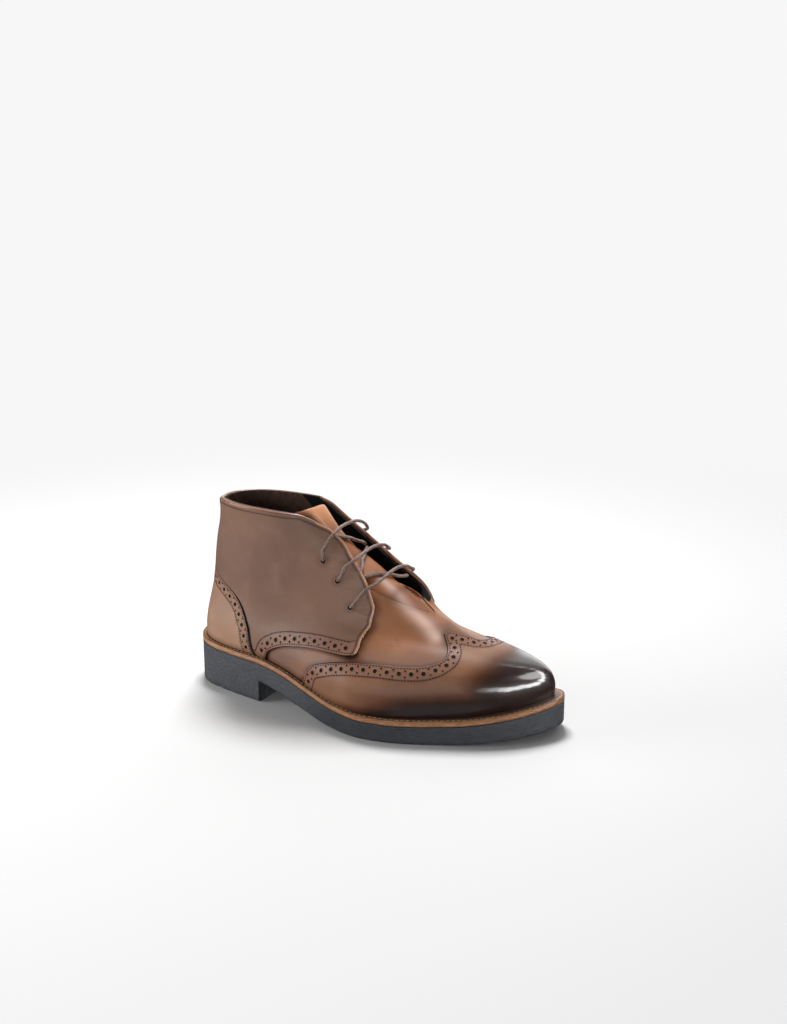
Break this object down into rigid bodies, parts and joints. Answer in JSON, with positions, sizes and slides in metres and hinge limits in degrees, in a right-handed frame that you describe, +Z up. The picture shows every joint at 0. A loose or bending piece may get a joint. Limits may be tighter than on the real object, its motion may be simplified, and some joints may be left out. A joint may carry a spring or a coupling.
{
  "type": "laced leather ankle boot",
  "caption": "Right ankle boot with a wing-shaped toe cap, open laced throat, tongue, welt and rubber sole with a heel.",
  "frame": {"origin": "on the floor under the middle of the shoe's bounding box", "axes": "+X from the heel to the toe, +Y to the inner side of the foot, +Z up"},
  "size_m": [0.302, 0.1112, 0.1546],
  "materials": {
    "sole_rubber": "fine pebbled rubber, matt",
    "welt_leather": "waxed edge, satin",
    "insole_leather": "plain, matt",
    "vamp_leather": "smooth, polished",
    "tongue_leather": "smooth, satin",
    "quarter_leather": "smooth, satin",
    "counter_leather": "smooth, satin",
    "cap_leather": "burnished, glossy at the toe",
    "lace": "waxed round cord"
  },
  "bodies": {
    "root": {"outsole": "sole_rubber", "welt": "welt_leather", "insole": "insole_leather", "upper": "vamp_leather", "tongue": "tongue_leather", "quarter_lateral": "quarter_leather", "quarter_medial": "quarter_leather", "heel_counter": "counter_leather", "wing_cap": "cap_leather", "lace_bar_1": "lace", "lace_bar_2": "lace", "lace_bar_3": "lace"}
  },
  "joints": []
}
